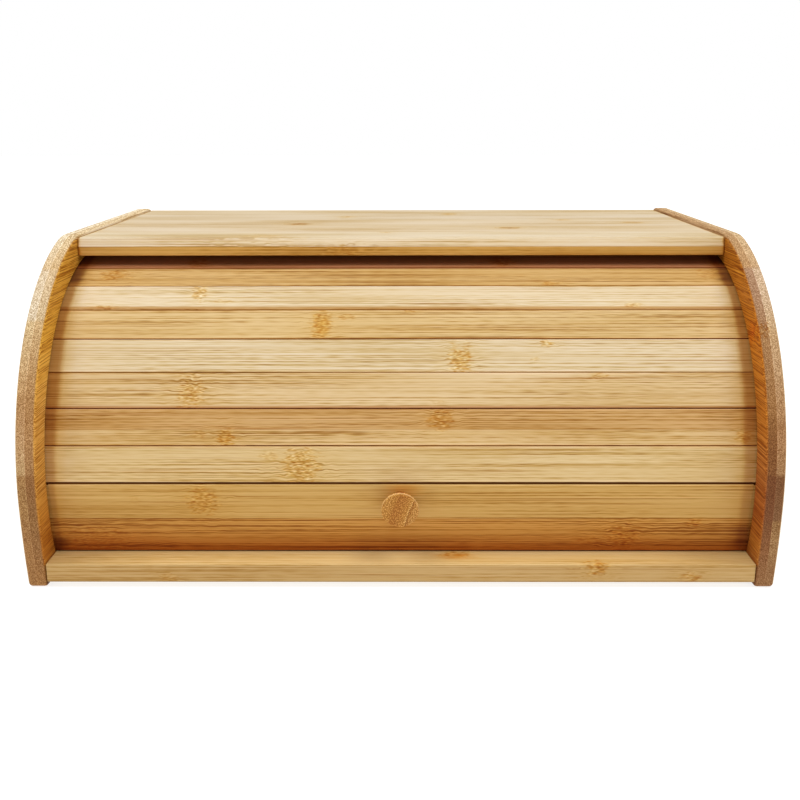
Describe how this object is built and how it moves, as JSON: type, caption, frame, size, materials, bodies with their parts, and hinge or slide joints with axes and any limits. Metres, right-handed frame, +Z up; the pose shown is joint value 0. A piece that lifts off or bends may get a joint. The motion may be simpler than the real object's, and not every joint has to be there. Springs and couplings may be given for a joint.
{
  "type": "roll-top bread box",
  "caption": "Low wooden bread box with curved side boards and a slatted roll-up front that slides back under the top board, pulled by a round knob on its wide lead rail.",
  "frame": {"origin": "middle of the box's footprint, on the surface it stands on", "axes": "+X along the width, to the right when facing the front; -Y towards the front with the slatted shutter; +Z up"},
  "size_m": [0.4, 0.286, 0.177],
  "materials": {
    "side_bamboo": "satin",
    "base_bamboo": "satin",
    "top_bamboo": "satin",
    "back_bamboo": "satin",
    "slat_light": "satin",
    "slat_mid": "satin",
    "slat_dark": "satin",
    "rail_bamboo": "satin",
    "knob_bamboo": "satin",
    "dowel_wood": "matte",
    "canvas": "matte",
    "steel": "satin"
  },
  "bodies": {
    "case": {"side_panel_left": "side_bamboo", "side_panel_right": "side_bamboo", "base_board": "base_bamboo", "top_panel": "top_bamboo", "back_panel": "back_bamboo", "dowels_left": "dowel_wood", "dowels_right": "dowel_wood"},
    "shutter": {"slat_01": "slat_mid", "slat_02": "slat_dark", "slat_03": "slat_mid", "slat_04": "slat_light", "slat_05": "slat_mid", "slat_06": "slat_light", "slat_07": "slat_mid", "slat_08": "slat_mid", "slat_09": "slat_mid", "lead_rail": "rail_bamboo", "canvas_backing": "canvas", "knob": "knob_bamboo", "knob_screw": "steel", "knob_washer": "steel"}
  },
  "joints": [
    {"name": "shutter_roll", "type": "hinge", "parent": "case", "child": "shutter", "pos_m": [0, -0.0087, 0.0455], "axis": [-1, 0, 0], "range_deg": [0, 68]}
  ]
}
